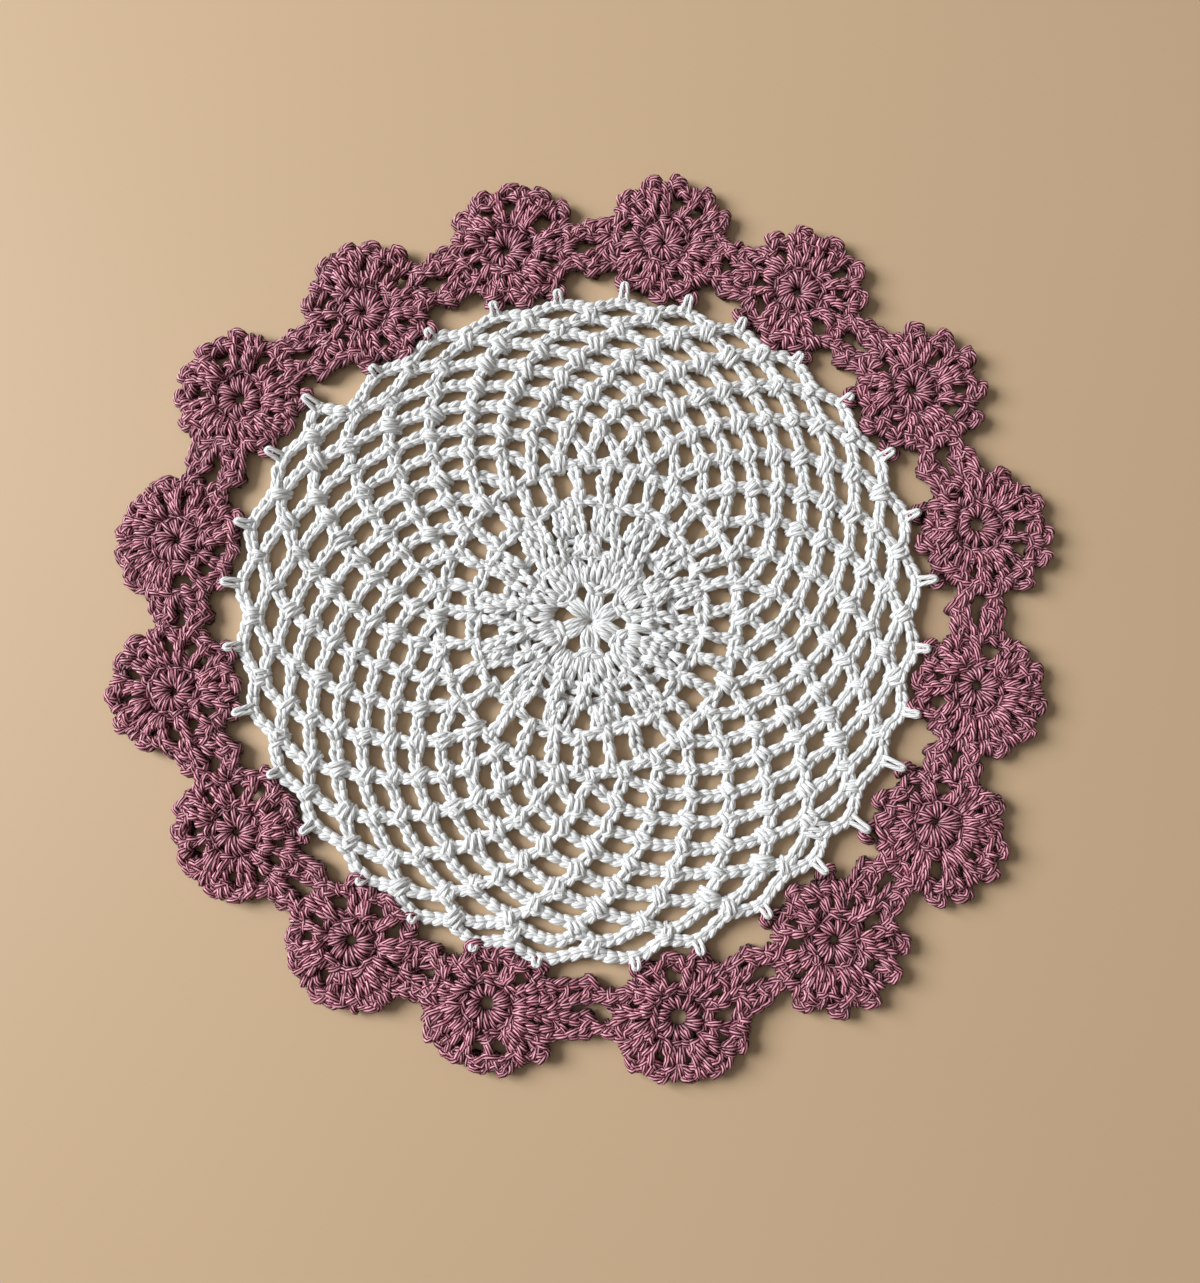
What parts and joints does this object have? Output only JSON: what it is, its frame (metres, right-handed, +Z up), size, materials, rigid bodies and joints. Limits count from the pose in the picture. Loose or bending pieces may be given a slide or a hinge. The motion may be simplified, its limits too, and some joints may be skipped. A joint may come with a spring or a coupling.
{
  "type": "lace doily",
  "caption": "Round crocheted table doily, lying flat: white open-mesh centre edged with small round mauve motifs joined at their loops.",
  "frame": {"origin": "on the surface that the doily lies on, under the middle of its outline", "axes": "+Z up out of the flat doily, +Y towards the side where the mesh reads as its top, +X to the right"},
  "size_m": [0.2812, 0.2714, 0.0034],
  "materials": {
    "white_cotton": "matte plied cotton yarn, crocheted",
    "mauve_cotton": "soft-sheen plied cotton yarn, crocheted"
  },
  "bodies": {
    "root": {"centre": "white_cotton", "motif_01": "mauve_cotton", "motif_02": "mauve_cotton", "motif_03": "mauve_cotton", "motif_04": "mauve_cotton", "motif_05": "mauve_cotton", "motif_06": "mauve_cotton", "motif_07": "mauve_cotton", "motif_08": "mauve_cotton", "motif_09": "mauve_cotton", "motif_10": "mauve_cotton", "motif_11": "mauve_cotton", "motif_12": "mauve_cotton", "motif_13": "mauve_cotton", "motif_14": "mauve_cotton", "motif_15": "mauve_cotton", "motif_16": "mauve_cotton"}
  },
  "joints": []
}
